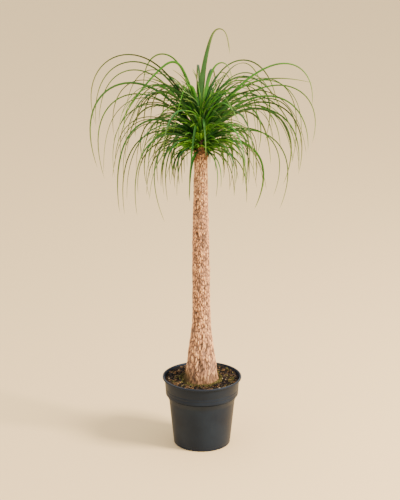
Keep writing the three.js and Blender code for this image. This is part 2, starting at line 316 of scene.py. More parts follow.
def drain_cutters():
    """Round drains in the floor, and half-round notches in the edge of the foot between them."""
    bm = bmesh.new()
    for i in range(2 * DRAINS):
        turn = Matrix.Rotation(math.radians(FIRST_NOTCH + i * 180 / DRAINS), 4, "Z")
        if i % 2:
            place = turn @ Matrix.Translation((DRAIN_CIRCLE * MM, 0, 0))
            radius, depth = DRAIN_RADIUS * MM, 4 * FLOOR * MM
        else:
            place = turn @ Matrix.Translation((FOOT * MM, 0, 0)) @ Matrix.Rotation(math.radians(90), 4, "Y")
            radius, depth = NOTCH_RADIUS * MM, NOTCH_LENGTH * MM
        bmesh.ops.create_cone(bm, cap_ends=True, segments=DRAIN_SIDES, radius1=radius, radius2=radius,
                              depth=depth, matrix=place)
    return bm


def loose_object(name, bm):
    """An object that only helps to make another one."""
    mesh = bpy.data.meshes.new(name)
    bm.to_mesh(mesh)
    bm.free()
    helper = bpy.data.objects.new(name, mesh)
    bpy.context.scene.collection.objects.link(helper)
    return helper


def cut(bm, cutters):
    """A bmesh with the cutters' volume taken out. Nothing else of the two is kept."""
    body = loose_object("uncut", bm)
    cutter = loose_object("cutter", cutters)
    boolean = body.modifiers.new("cut", "BOOLEAN")
    boolean.operation = "DIFFERENCE"
    boolean.solver = "EXACT"
    boolean.object = cutter
    result = bmesh.new()
    result.from_object(body, bpy.context.evaluated_depsgraph_get())
    for helper in (body, cutter):
        mesh = helper.data
        bpy.data.objects.remove(helper)
        bpy.data.meshes.remove(mesh)
    return result


make_piece("nursery_pot", cut(spun(pot_profile, POT_STEPS), drain_cutters()), pot_plastic,
           replaced="pot", crease=30)

# %% [markdown]
# ## The trunk
#
# The trunk of a ponytail palm is covered in cork that cracks into small upright plates as it thickens. A
# bump pattern on a smooth cone would look flat at the edges, and from a step away the cracks are what one
# sees, so they are real relief here: the profile is spun into a fine net, and each point moves in or out by
# a cell pattern that is stretched upwards. The same pattern is kept on the points as an attribute, so that
# the colour of cracks and plates always matches their depth.

# %% Trunk sizes
TRUNK_TOP = trunk_high.z / MM
TRUNK_BOTTOM = trunk_low.z / MM
TRUNK_X = -3
LEAN = 1
BARK_FROM = 206
BURIED_PROFILE = [(46, TRUNK_BOTTOM), (54, 120), (58.5, 160), (58.5, 194)]
TRUNK_PROFILE = [
    (58.2, 200), (56, 207), (51, 221), (46, 244), (43.6, 262), (39.4, 300), (33.6, 345), (28.8, 378),
    (27.4, 430), (26.8, 560), (24.2, 690), (22.4, 770), (20.8, 850), (20.2, TRUNK_TOP),
]


def trunk_radius(z):
    """The mean radius of the trunk at a height."""
    for (low_r, low_z), (high_r, high_z) in zip(TRUNK_PROFILE, TRUNK_PROFILE[1:]):
        if z <= high_z:
            return mix(low_r, high_r, between(z, low_z, high_z))
    return TRUNK_PROFILE[-1][0]


def trunk_shift(z):
    """How far the trunk's middle lies from the pot's middle at a height. It bends a little, to and fro."""
    return TRUNK_X + LEAN * math.sin(math.tau * between(z, BARK_FROM, TRUNK_TOP))


thick, slim = (round(2 * trunk_radius(z)) for z in (250, 900))
print("the trunk is", thick, "mm thick at its foot and", slim, "at its top")

# %% Cracks and plates
PLATE_WIDTH = 5.6
FOOT_PLATE_HEIGHT = 25
PLATE_HEIGHT = 12
PLATES_SHORTEN = (260, 430)
CRACK_DEPTH = 1.9
DOME_HEIGHT = 0.7
SWELL_HEIGHT = 0.8
FISSURE_DEPTH = 0.5
# Without a seed, noise_vector starts from the clock and the bark would differ on every run.
BARK_SEED = 1795876422
noise.seed_set(BARK_SEED)


def plates_below(z):
    """How many plates high the trunk is up to z. They are long on the foot and shorter above it."""
    foot, above = 1 / FOOT_PLATE_HEIGHT, 1 / PLATE_HEIGHT
    low, high = PLATES_SHORTEN
    share = between(z, low, high)
    return z * foot + (above - foot) * ((high - low) * share ** 2 / 2 + max(0, z - high))


def cork(turn, radius, z):
    """(depth in mm, plateau) of the cork at a place. The plateau is 0 in a crack and about 1 on a plate."""
    # The pattern lies on a net that widens less than the trunk does, so plates are broader on the foot.
    net_radius = 20 + 0.35 * radius
    around = Vector((math.cos(turn) * net_radius, math.sin(turn) * net_radius, 0))
    flat = around + Vector((0, 0, plates_below(z) * PLATE_WIDTH))
    wander = noise.noise_vector(flat / 12) * 3.2 + noise.noise_vector(flat / 3.4) * 1.3
    (near, far, *_), plates = noise.voronoi((flat + wander) / PLATE_WIDTH)
    crack_width = 0.32 + 0.34 * noise.noise(flat / 8)
    plateau = between(far - near, 0.0, max(0.08, crack_width))
    dome = between(far - near, 0.0, 0.7)
    streak = (around + Vector((0, 0, z / 7))) / 1.7
    fissure = 1 - between(abs(noise.noise(streak)), 0.0, 0.14)
    swell = noise.noise(flat / 24)
    tone = 0.87 + 0.24 * noise.noise(plates[0] * 5.3)
    depth = CRACK_DEPTH * (plateau - 1) + DOME_HEIGHT * dome + SWELL_HEIGHT * swell - FISSURE_DEPTH * fissure
    # Fissures and cracks get a darker tone: the cork's own brown, deepened by painted shade.
    return depth, plateau * tone * (1 - 0.5 * fissure)


print("a plate is about", PLATE_WIDTH, "mm wide and", PLATE_HEIGHT, "mm high")

# %% Folds and knot
FOLD_DEPTHS = (1.3, 0.4)
FOLDS_FADE = (250, 400)
# Cracks take a dark tone: the cork's own brown, deepened by painted shade.
CRACK_TONE = 0.2
KNOT_TURN = -119
KNOT_Z = 675
KNOT_HALF = (3.4, 7.5)
KNOT_DEPTH = 4


def folds(turn, z):
    """How far the upright folds stand out at a place, in mm. They are deepest on the swollen foot."""
    waves = math.sin(13 * turn + 2.4 * math.sin(z / 37)) + 0.7 * math.sin(7 * turn - z / 23)
    return mix(*FOLD_DEPTHS, between(z, *FOLDS_FADE)) * (waves - 0.6)


def knot_share(turn, radius, z):
    """How deep in the hollow knot a place lies, from 0 outside it to 1 in its middle."""
    away = (math.degrees(turn) - KNOT_TURN + 180) % 360 - 180
    from_knot = math.hypot(math.radians(away) * radius / KNOT_HALF[0], (z - KNOT_Z) / KNOT_HALF[1])
    return 1 - between(from_knot, 0.6, 1.1)


def bark(turn, radius, z):
    """(depth in mm, plateau) at a place. The plateau is 0 in the knot, 0.2 in a crack, about 1 on a plate."""
    depth, plateau = cork(turn, radius, z)
    hollow = knot_share(turn, radius, z)
    # The hollow knot is deepened to the darkest brown by painted shade.
    return depth + folds(turn, z) - KNOT_DEPTH * hollow, mix(CRACK_TONE, 1, plateau) * (1 - hollow)


print("the knot sits", KNOT_Z, "mm above the floor and is", 2 * KNOT_HALF[1], "mm high")

# %% Trunk
BARK_STEPS = 176
BARK_RINGS = 430
SKIN_FROM = 196
FULL_RELIEF_FROM = BARK_FROM + 8


def trunk_mesh():
    """The trunk from its buried foot to its top."""
    profile = [(0, TRUNK_BOTTOM), *BURIED_PROFILE]
    for i in range(BARK_RINGS + 1):
        z = mix(SKIN_FROM, TRUNK_TOP, i / BARK_RINGS)
        profile.append((trunk_radius(z), z))
    bm = spun([*profile, (0, TRUNK_TOP)], BARK_STEPS)
    relief = bm.verts.layers.float.new("plateau")
    for vert in bm.verts:
        x, y, z = vert.co / MM
        radius = math.hypot(x, y)
        if radius > 1 and z > SKIN_FROM - 1:
            depth, plateau = bark(math.atan2(y, x), radius, z)
            vert.co.xy *= 1 + depth * between(z, SKIN_FROM, FULL_RELIEF_FROM) / radius
            vert[relief] = plateau
        vert.co.x += trunk_shift(z) * MM
    return bm


print("the bark is a net of", BARK_STEPS, "by", BARK_RINGS, "faces")


# %% [markdown]
# ## The bark's finish
#
# Cork is matt. Its plates are tan where they have weathered and pale on their crowns, where a painted
# highlight adds to their own colour, and the cracks between them are brown, deepened by painted shade, as is
# the hollow knot. A ramp of colours reads the plateau attribute, with noise added so that no two plates
# match. A slow noise greys it in patches, and the height above the floor paints the top brighter to lift the
# shade of the leaves over it, makes the foot darker towards the bottom, and paints a dark olive low on its
# left side, partly a green coat of algae and partly painted shade.

# %% Bark material
# Between these heights the foot grows darker towards the bottom.
DARKER_FOOT_HEIGHTS = (200, 260)
# Between these heights the top is painted brighter, to lift the shade that the leaves cast on it.
TOP_LIFT_HEIGHTS = (740, 860)
# A dark olive lies low on the left of the foot, away from the key lamp: partly a green coat of algae, partly
# painted shade.
FILM_AND_SHADE_HEIGHTS = (256, 226)
FILM_AND_SHADE_SIDE = (-22, -52)


def corky_bark():
    """Dry cork: tan plates, pale crowns, brown cracks, no gloss, and a dark olive low on the left side,
    partly algae, partly painted shade.
    """
    material, shader = new_material("corky bark")
    place = add_node(material, "ShaderNodeTexCoord").outputs["Object"]
    axes = add_node(material, "ShaderNodeSeparateXYZ", {"Vector": place}).outputs
    plateau = add_node(material, "ShaderNodeAttribute", attribute_name="plateau").outputs["Fac"]
    upright = add_node(material, "ShaderNodeMapping", {"Vector": place, "Scale": (1, 1, 0.35)})
    flecks = add_node(material, "ShaderNodeTexNoise", {
        "Vector": upright.outputs["Vector"], "Detail": 5.0, "Scale": 1 / (3.5 * MM), "Roughness": 0.65})
    centred = add_node(material, "ShaderNodeMath", {0: flecks.outputs["Fac"], 1: 0.5}, operation="SUBTRACT")
    spread = add_node(material, "ShaderNodeMath", {
        0: centred.outputs[0], 1: 0.9, 2: plateau}, operation="MULTIPLY_ADD")
    # Cracks and the hollow knot are dark partly by painted shade, and the pale plate crowns are partly a
    # painted highlight.
    colour = add_node(material, "ShaderNodeValToRGB", {
        "Fac": spread.outputs[0]}, stops=[(0.0, "#15100d"), (1.0, "#ffcc8c"), (0.2, "#49392d"), (0.45,
        "#896955"), (0.75, "#ce956c")])
    patches = add_node(material, "ShaderNodeTexNoise", {"Vector": place, "Scale": 22.0, "Detail": 3.0})
    grey = add_node(material, "ShaderNodeMapRange", {
        "Value": patches.outputs["Fac"], "From Min": 0.5, "From Max": 0.75, "To Max": 0.3})
    faded = add_node(material, "ShaderNodeMix", {
        "Factor": grey.outputs["Result"], "B": linear("#9c7d68"), "A": colour.outputs["Color"]},
        data_type="RGBA")
    # The top is painted brighter, to lift the shade that the leaves cast on it.
    low, high = (z * MM for z in TOP_LIFT_HEIGHTS)
    brightened = add_node(material, "ShaderNodeMapRange", {
        "Value": axes["Z"], "From Min": low, "From Max": high, "To Max": 0.45})
    top_lifted = add_node(material, "ShaderNodeMix", {
        "Factor": brightened.outputs["Result"], "A": faded.outputs["Result"], "B": colour.outputs["Color"]},
        data_type="RGBA", blend_type="SCREEN")
    # The foot is darker towards the bottom.
    low, high = (z * MM for z in DARKER_FOOT_HEIGHTS)
    foot_darkening = add_node(material, "ShaderNodeMapRange", {
        "Value": axes["Z"], "From Min": low, "From Max": high, "To Min": 0.75, "To Max": 0.0},
        interpolation_type="SMOOTHERSTEP")
    foot_darkened = add_node(material, "ShaderNodeMix", {
        "Factor": foot_darkening.outputs["Result"], "B": linear("#5f432c"), "A": top_lifted.outputs["Result"]},
        data_type="RGBA")
    # Low on the left side, away from the key lamp, the foot is painted a dark olive: partly a green coat of
    # algae, partly painted shade.
    low, high = (x * MM for x in FILM_AND_SHADE_SIDE)
    shaded = add_node(material, "ShaderNodeMapRange", {
        "Value": axes["X"], "From Min": low, "From Max": high, "To Max": 0.9})
    high, low = (z * MM for z in FILM_AND_SHADE_HEIGHTS)
    low_on_foot = add_node(material, "ShaderNodeMapRange", {"Value": axes["Z"], "From Min": high, "From Max": low})
    film_and_shade = add_node(material, "ShaderNodeMath", {
        0: shaded.outputs["Result"], 1: low_on_foot.outputs["Result"]}, operation="MULTIPLY")
    green = add_node(material, "ShaderNodeMix", {
        "Factor": film_and_shade.outputs[0], "A": foot_darkened.outputs["Result"], "B": linear("#463b20")},
        data_type="RGBA")
    bump = add_node(material, "ShaderNodeBump", {
        "Height": flecks.outputs["Fac"], "Strength": 0.7, "Distance": 0.8 * MM})
    feed(shader, {
        "Base Color": green.outputs["Result"], "Normal": bump.outputs["Normal"], "Roughness": 0.92,
        "Specular IOR Level": 0.1})
    return material


make_piece("corky_trunk", trunk_mesh(), corky_bark(), replaced="trunk", crease=180)

# %% [markdown]
# ## The potting mix
#
# The mix is peat with chopped pine bark, a little pale grit, and moss where it stays damp against the
# trunk. The bed is a spun solid that fills the pot, and its top is moved up and down by waves and noise.
# The bark and the grit could be bumps in its finish, but here they lie on it one by one, because their
# shadows on each other are what makes soil look like soil.

# %% Soil bed
SOIL_TOP = 206.5
SOIL_TILT = 0.055
MOUND_HEIGHT = 1.2
RISE_AT_TRUNK = 1.5
RISE_WIDTH = 24
RISE_ENDS = 84
COARSE_CRUMBS = (1.5, 4)
FINE_CRUMBS = (1.1, 1.8)
GAP = 0.3
SLOPE_GAP = 0.4
HOLE = BURIED_PROFILE[-1][0] + GAP
BED_EDGE = COLLAR_TOP - WALL - GAP
BED_RINGS = 44
BED_STEPS = 160
SHIFT_ENDS = 97


def soil_height(x, y):
    """The height of the soil's top at a place, in mm: low mounds, a little higher at the back."""
    from_trunk = math.hypot(x - TRUNK_X, y)
    mounds = math.sin(x / 11 + 1.3) * math.cos(y / 13 - 0.4) + 0.6 * math.sin((x - y) / 7)
    rise = RISE_AT_TRUNK * between(RISE_ENDS - from_trunk, 0, RISE_WIDTH)
    return SOIL_TOP + SOIL_TILT * y + MOUND_HEIGHT * mounds + rise


def crumbs(x, y):
    """How far the crumbs stand out at a place, in mm: coarse ones, and finer ones on them."""
    (high, wide), (low, narrow) = COARSE_CRUMBS, FINE_CRUMBS
    return high * noise.noise(Vector((x, y, 0)) / wide) + low * noise.noise(Vector((x, y, 9)) / narrow)


def bed_shift(radius):
    """How far the bed moves sideways at a radius, in mm, so that its hole lies round the trunk."""
    return TRUNK_X * (1 - between(radius, HOLE, SHIFT_ENDS))


def soil_mesh():
    """The whole body of soil, with a hole for the foot of the trunk, which stands a little off the middle."""
    foot_r, step_r = FOOT - WALL - GAP, COLLAR_FOOT[0] - WALL - SLOPE_GAP
    wall = [(0, FLOOR + GAP), (foot_r, FLOOR + GAP), (foot_r, BODY_FOOT[1] - 1),
            (BODY_FOOT[0] - WALL - SLOPE_GAP, BODY_FOOT[1] + 1),
            (BODY_TOP[0] - WALL - SLOPE_GAP, BODY_TOP[1] + 1), (step_r - GROOVE_DEPTH, COLLAR_FOOT[1] - 1),
            (step_r, COLLAR_FOOT[1] + INNER_STEP + SLOPE_GAP)]
    top = [(mix(BED_EDGE, HOLE, i / BED_RINGS), SOIL_TOP) for i in range(BED_RINGS + 1)]
    root_r, root_z = BURIED_PROFILE[0]
    hole = [(r + GAP, z) for r, z in BURIED_PROFILE[2:0:-1]]
    hole += [(root_r + GAP, root_z - GAP), (0, root_z - GAP)]
    bm = spun(wall + top + hole, BED_STEPS)
    for vert in bm.verts:
        radius = vert.co.xy.length / MM
        if vert.co.z > (TRUNK_BOTTOM - 1) * MM and radius <= BED_EDGE:
            vert.co.x += bed_shift(radius) * MM
        x, y, z = vert.co / MM
        if abs(z - SOIL_TOP) < 0.01:
            vert.co.z = (soil_height(x, y) + crumbs(x, y)) * MM
    return bm


def peat():
    """Damp peat: very dark brown crumbs and fibres, rough, with no gloss."""
    material, shader = new_material("peat-and-bark mix")
    place = add_node(material, "ShaderNodeTexCoord").outputs["Object"]
    fibres = add_node(material, "ShaderNodeTexNoise", {
        "Vector": place, "Scale": 1 / (3 * MM), "Detail": 5.0, "Roughness": 0.7})
    colour = add_node(material, "ShaderNodeValToRGB", {
        "Fac": fibres.outputs["Fac"]}, stops=[(0.35, "#0a0603"), (0.8, "#2e2012"), (0.55, "#150d07")])
    bump = add_node(material, "ShaderNodeBump", {"Height": fibres.outputs["Fac"], "Distance": 1.5 * MM})
    feed(shader, {
        "Base Color": colour.outputs["Color"], "Normal": bump.outputs["Normal"], "Roughness": 0.95,
        "Specular IOR Level": 0.2})
    return material


make_piece("soil_bed", soil_mesh(), peat(), replaced="soil", crease=180)


# %% Lumps on the soil
def bed_place(draw, inner, outer):
    """A place on the soil between two distances from the trunk's skin, from 0 there to 1 at the wall."""
    low, high = mix(HOLE, BED_EDGE, inner), mix(HOLE, BED_EDGE, outer)
    radius = math.sqrt(mix(low ** 2, high ** 2, (draw() + 1) / 2))
    turn = math.pi * draw()
    x, y = radius * math.cos(turn) + bed_shift(radius), radius * math.sin(turn)
    return x, y, soil_height(x, y)


def add_lumps(bm, draw, count, size, flatness, inner, outer, lift, rough):
    """Adds irregular lumps to a bmesh: their longest size in mm, how flat they are, and how high they lie."""
    tint = bm.verts.layers.float.get("tint") or bm.verts.layers.float.new("tint")
    for _ in range(count):
        x, y, z = bed_place(draw, inner, outer)
        long_side = size * (1 + 0.45 * draw())
        shape = Matrix.Diagonal((long_side, long_side * (0.55 + 0.25 * draw()), long_side * flatness, 1))
        tilt = Matrix.Rotation(0.5 * draw(), 4, "X") @ Matrix.Rotation(0.5 * draw(), 4, "Y")
        turned = Matrix.Rotation(math.pi * draw(), 4, "Z") @ tilt @ shape
        place = Matrix.Translation((x, y, z + lift * (1 + draw())))
        made = bmesh.ops.create_icosphere(bm, subdivisions=1, radius=0.5, matrix=Matrix.Identity(4))
        colour = 0.5 + 0.5 * draw()
        for vert in made["verts"]:
            jitter = Vector((draw(), draw(), draw())) * rough
            vert.co = (place @ turned @ (vert.co + jitter)) * MM
            vert[tint] = colour


def tinted(name, stops, roughness, grain):
    """A material that takes its colour from each lump's own draw, with a fine grain over it, in mm."""
    material, shader = new_material(name)
    place = add_node(material, "ShaderNodeTexCoord").outputs["Object"]
    tint = add_node(material, "ShaderNodeAttribute", attribute_name="tint").outputs["Fac"]
    fine = add_node(material, "ShaderNodeTexNoise", {
        "Vector": place, "Scale": 1 / (grain * MM), "Detail": 4.0})
    centred = add_node(material, "ShaderNodeMath", {0: fine.outputs["Fac"], 1: 0.5}, operation="SUBTRACT")
    varied = add_node(material, "ShaderNodeMath", {
        0: centred.outputs[0], 1: 0.7, 2: tint}, operation="MULTIPLY_ADD")
    colour = add_node(material, "ShaderNodeValToRGB", {"Fac": varied.outputs[0]}, stops=stops)
    bump = add_node(material, "ShaderNodeBump", {
        "Height": fine.outputs["Fac"], "Strength": 0.6, "Distance": 0.5 * MM})
    feed(shader, {
        "Base Color": colour.outputs["Color"], "Normal": bump.outputs["Normal"], "Roughness": roughness,
        "Specular IOR Level": 0.3})
    return material


print("the bed of soil is", round(2 * BED_EDGE), "mm across")

# %% Bark chips and grit
chip_draw = seeded_draw(77)
chips = bmesh.new()
add_lumps(chips, chip_draw, count=230, size=11, flatness=0.26, inner=0.16, outer=0.9, lift=0.9, rough=0.13)
add_lumps(chips, chip_draw, count=900, size=5.5, flatness=0.4, inner=0.06, outer=0.95, lift=0.7, rough=0.14)
# Chips of pine bark are matt, and run from nearly black to a red brown where they broke.
bark_colours = [(0.0, "#0c0705"), (1.0, "#86633c"), (0.4, "#1d130a"), (0.8, "#46311c")]
pine_bark = tinted("pine bark chips", bark_colours, roughness=0.85, grain=2.0)
make_piece("bark_chips", chips, pine_bark, crease=20)

grit = bmesh.new()
add_lumps(grit, seeded_draw(5), count=32, size=4.4, flatness=0.7, inner=0.1, outer=0.9, lift=1.2, rough=0.1)
# Grit is a dusty off-white stone that scatters all the light it gets.
pale_grit = tinted("pale grit", [(0.0, "#5f4b31"), (1.0, "#c7b08a")], roughness=0.8, grain=1.5)
make_piece("grit", grit, pale_grit, crease=30)

# %% [markdown]
# ## Moss
#
# Moss grows where the mix stays damp: in a broken collar round the foot of the trunk and in a few cushions.
# Strands of hair would be another way, but they don't leave Blender as a mesh. Each stem is a tiny leaning
# cone with three sides, which is plenty for a thing 6 mm high, and a noise pattern says where they stand, so
# that they come out in patches and not in an even lawn.

# %% Moss stems
MOSS_TRIES = 6500
MOSS_HEIGHT = 6
MOSS_RADII = (1.2, 0.25)
COLLAR_OF_MOSS = (58, 72)
THICKEST_TURN = -60
MOSS_FROM = 0.42


def moss_mesh():
    """Short leaning stems in patches, thickest against the trunk at the front."""
    draw = seeded_draw(311)
    bm = bmesh.new()
    tint = bm.verts.layers.float.new("tint")
    foot_radius, tip_radius = (radius * MM for radius in MOSS_RADII)
    for _ in range(MOSS_TRIES):
        x, y, z = bed_place(draw, -0.05, 0.85)
        near_trunk = 1 - between(math.hypot(x - TRUNK_X, y), *COLLAR_OF_MOSS)
        front_right = 0.5 + 0.5 * math.cos(math.atan2(y, x - TRUNK_X) - math.radians(THICKEST_TURN))
        patch = noise.noise(Vector((x, y, 40)) / 17) + 0.5 * noise.noise(Vector((x, y, 0)) / 6)
        height = MOSS_HEIGHT + 2.5 * draw() + 2 * near_trunk
        lean = Matrix.Rotation(0.6 * draw(), 4, "X") @ Matrix.Rotation(0.6 * draw(), 4, "Y")
        colour = 0.5 + 0.5 * draw()
        if patch + near_trunk * (0.3 + 0.9 * front_right) < MOSS_FROM:
            continue
        place = Matrix.Translation((x * MM, y * MM, (z + height * 0.3 - 1) * MM))
        made = bmesh.ops.create_cone(bm, cap_ends=True, segments=3, radius1=foot_radius, radius2=tip_radius,
                                     depth=height * MM, matrix=place @ lean)
        for vert in made["verts"]:
            vert[tint] = colour
    return bm


# Cushion moss is dull yellow green, with darker stems between the tips that catch the light.
moss = tinted("cushion moss", [(0.0, "#231e0c"), (1.0, "#94864a"), (0.5, "#524d20")], 0.8, 3.0)
make_piece("moss", moss_mesh(), moss)

# %% [markdown]
# ## The leaves
#
# Each leaf is a long strap that is folded along its middle like a shallow gutter. It stands up out of the
# head, arches over, and hangs, ending in a thread. One could draw a curve for each, but hundreds of leaves
# ask for a rule. It gives the line of a leaf's middle from a few measures: how steeply it leaves the head,
# how steeply it ends, and where and how softly it bends in between.
#
# The leaves that make the outline are set one by one. The rest follow the order in which a head grows: each
# new leaf is turned by the golden angle from the last, and the older a leaf is, the lower and flatter it
# stands.

# %% The rule for a leaf's line
HIGHEST_ROOT = 987
LOWEST_ROOT = 926
# Leaves start inside the stem: 4 mm from its middle at the highest root, and 1 mm more for every 10 mm down.
ROOT_REACH = 4
ROOT_STEEPNESS = 10
PATH_STEPS = 60


def turned_share(leaf, t):
    """How much of a leaf's turn, from 0 to 1, is behind it at t, from 0 at the root to 1 at the tip."""
    def logistic(x):
        return 1 / (1 + math.exp(-x))

    low = logistic(-leaf["bend_at"] / leaf["softness"])
    high = logistic((1 - leaf["bend_at"]) / leaf["softness"])
    bend = (logistic((t - leaf["bend_at"]) / leaf["softness"]) - low) / (high - low)
    return mix(bend, t, leaf["even"])


def leaf_heading(leaf, t):
    """The compass direction of a leaf at t, in radians."""
    return math.radians(leaf["azimuth"] + leaf["drift"] * t * t)


def leaf_direction(leaf, t):
    """The direction in which the middle of a leaf runs at t."""
    climb = math.radians(mix(leaf["launch"], leaf["tip"], turned_share(leaf, t)))
    heading = leaf_heading(leaf, t)
    return Vector((math.cos(climb) * math.cos(heading), math.cos(climb) * math.sin(heading), math.sin(climb)))


def leaf_path(leaf):
    """Points along the middle of a leaf, in mm, in equal steps."""
    start = math.radians(leaf["azimuth"])
    reach = leaf.get("reach", ROOT_REACH + (HIGHEST_ROOT - leaf["root"]) / ROOT_STEEPNESS)
    points = [Vector((TRUNK_X + reach * math.cos(start), reach * math.sin(start), leaf["root"]))]
    for i in range(PATH_STEPS):
        step = leaf_direction(leaf, (i + 0.5) / PATH_STEPS) * (leaf["length"] / PATH_STEPS)
        points.append(points[-1] + step)
    return points


def point_at(path, t):
    """The point at t on a path of equal steps."""
    index = min(int(t * PATH_STEPS), PATH_STEPS - 1)
    return path[index].lerp(path[index + 1], t * PATH_STEPS - index)


print("leaves grow from", LOWEST_ROOT, "to", HIGHEST_ROOT, "mm above the floor")

# %% Leaves of the outline
BLADE_END = 1.08
BROAD = 17
BROAD_BLADE_END = 0.9
FULLNESS = 1.05
SIDE_ROLL = 62
ROLL_SPREAD = 18
HEART_ROLL = 45
# Angles are in degrees, with -90 towards the front, and lengths in mm. The bend is in shares of the length.
NAMES = ("azimuth", "root", "launch", "tip", "length", "bend_at", "softness", "even", "width")
OUTLINE_LEAVES = [
    (0, 964, 98, -84, 421, 0.8, 0.025, 0.19, 31), (180, 977, 70, -106, 600, 0.62, 0.13, 0.12, 11),
    (182, 977, 69, -94, 552, 0.6, 0.11, 0.2, 10), (172, 977, 82, -88, 405, 0.68, 0.07, 0.15, 12),
    (178, 970, 66, -88, 495, 0.62, 0.1, 0.25, 10), (182, 967, 60, -108, 590, 0.54, 0.12, 0.25, 13),
    (178, 960, 57, -106, 555, 0.5, 0.12, 0.25, 11), (182, 984, 84.5, -70, 530, 0.42, 0.02, 0.34, 12),
    (188, 947, 50, -98, 485, 0.36, 0.1, 0.3, 12), (190, 940, 41, -98, 430, 0.36, 0.12, 0.3, 10),
    (203, 940, 42, -99, 395, 0.34, 0.12, 0.3, 10), (208, 932, 38, -114, 365, 0.3, 0.1, 0.3, 12),
    (225, 930, 25, -75, 190, 0.45, 0.12, 0.3, 10), (230, 928, 12, -92, 190, 0.35, 0.12, 0.3, 10),
    (250, 928, 5, -95, 190, 0.3, 0.12, 0.3, 13), (10, 980, 89, -84, 470, 0.56, 0.09, 0.35, 11),
    (2, 974, 63, -94, 498, 0.74, 0.08, 0.35, 11), (-4, 970, 67, -14, 400, 0.5, 0.15, 0.4, 10),
    (0, 967, 57, -106, 515, 0.68, 0.11, 0.4, 10), (-3, 964, 55, -92, 462, 0.62, 0.12, 0.4, 12),
    (-4, 960, 53, -104, 495, 0.54, 0.12, 0.35, 13), (-6, 954, 54, -112, 480, 0.5, 0.12, 0.35, 12),
    (-12, 947, 32, -112, 450, 0.5, 0.12, 0.35, 10), (-8, 947, 36, -110, 398, 0.5, 0.12, 0.35, 10),
    (-14, 937, 25, -115, 350, 0.45, 0.12, 0.35, 15), (-25, 929, 7, -95, 245, 0.45, 0.12, 0.35, 12),
    (-40, 928, 8, -90, 200, 0.42, 0.12, 0.35, 12), (-60, 928, 8, -108, 190, 0.38, 0.12, 0.35, 10),
    (0, 984, 93, -86, 303, 0.73, 0.04, 0.22, 18), (14, 978, 82, -72, 420, 0.5, 0.1, 0.4, 10),
    (115, 984, 85, 20, 192, 0.85, 0.05, 0.15, 15), (88, 952, 46, -96, 480, 0.52, 0.12, 0.3, 10),
]
# Blades that stand upright in the middle of the head, and three that hang before it. At the end comes how new
# each one is, raised on the pale one that hangs in front to paint its sheen: 1 makes a bright new blade, and
# less than 0 makes one that is darker than its neighbours.
HEART_LEAVES = [
    (150, 985, 88, 20, 174, 0.94, 0.02, 0.05, 11, 0.0), (110, 985, 88, 30, 177, 0.94, 0.02, 0.05, 13, 0.0),
    (-120, 985, 90, 70, 150, 0.8, 0.1, 0.2, 10, 0.6), (60, 985, 92, 40, 166, 0.9, 0.05, 0.1, 13, -0.2),
    (-160, 955, 86, 60, 200, 0.7, 0.12, 0.2, 9, 1.1), (-70, 984, 86, 72, 150, 0.6, 0.15, 0.3, 12, 0.7),
    (-20, 984, 80, 60, 165, 0.6, 0.15, 0.3, 12, 0.2), (150, 984, 82, 58, 190, 0.6, 0.15, 0.3, 12, 0.2),
    (15, 984, 86, 68, 175, 0.6, 0.15, 0.3, 14, -0.3), (90, 984, 88, 70, 165, 0.6, 0.15, 0.3, 16, 0.2),
    (-165, 984, 82, 55, 160, 0.6, 0.15, 0.3, 14, 0.2), (35, 984, 76, 48, 185, 0.6, 0.15, 0.3, 14, 0.5),
    (-95, 984, 88, 76, 120, 0.6, 0.15, 0.3, 15, 0.8), (-45, 984, 82, 60, 130, 0.6, 0.15, 0.3, 14, 0.6),
    (176, 984, 76, 30, 215, 0.6, 0.15, 0.3, 14, 0.1), (190, 984, 71, 20, 230, 0.6, 0.15, 0.3, 13, 0.0),
    (165, 984, 68, 10, 235, 0.6, 0.15, 0.3, 14, 0.3), (200, 984, 79, 45, 185, 0.6, 0.15, 0.3, 14, 0.2),
    (-5, 984, 74, 28, 220, 0.6, 0.15, 0.3, 13, 0.0), (10, 984, 70, 10, 240, 0.6, 0.15, 0.3, 14, 0.1),
    (-146, 982, 85, -79, 305, 0.5, 0.03, 0.12, 16, 0.7), (-105, 970, 80, -82, 300, 0.2, 0.05, 0.2, 9, 0.3),
    (-80, 974, 86, -84, 185, 0.34, 0.06, 0.25, 10, 0.4), (178, 984, 80, 30, 205, 0.8, 0.1, 0.15, 13, 0.1),
    (4, 984, 80, 25, 200, 0.8, 0.1, 0.15, 13, 0.0), (170, 984, 76, -10, 270, 0.65, 0.1, 0.2, 12, 0.1),
    (8, 984, 76, -20, 265, 0.65, 0.1, 0.2, 12, 0.0), (185, 984, 84, 40, 190, 0.8, 0.1, 0.2, 12, 0.0),
]


def outline_leaf(row, draw):
    """One of the leaves that are set one by one. Those at the sides are rolled until they show a face."""
    leaf = dict(zip(NAMES, row), drift=0, youth_and_shade_lift=0)
    leaf["width"] *= FULLNESS
    leaf["roll"] = -math.cos(math.radians(leaf["azimuth"])) * (SIDE_ROLL + ROLL_SPREAD * draw())
    leaf["blade_end"] = BROAD_BLADE_END if leaf["width"] > BROAD else BLADE_END
    return leaf


def heart_leaf(row):
    """One of the blades of the heart. Those at the sides are rolled too, but less."""
    blade = dict(zip((*NAMES, "youth_and_shade_lift"), row), drift=0, blade_end=BLADE_END)
    blade["roll"] = -HEART_ROLL * math.cos(math.radians(blade["azimuth"]))
    return blade


print(len(OUTLINE_LEAVES), "leaves make the outline and", len(HEART_LEAVES), "stand in the heart")

# %% Scattered leaves
SCATTERED_LEAVES = 150
GOLDEN_ANGLE = 137.508
FRONT = -90
PARTING = 32
NEWEST_LENGTH = 160
GROWTH = 355
SHORTENING = 340
GROWN_AT = 0.3
SHORTER_FROM = 0.35


def from_front(azimuth):
    """The angle between a direction and the front, from -180 to 180."""
    return (azimuth - FRONT + 180) % 360 - 180


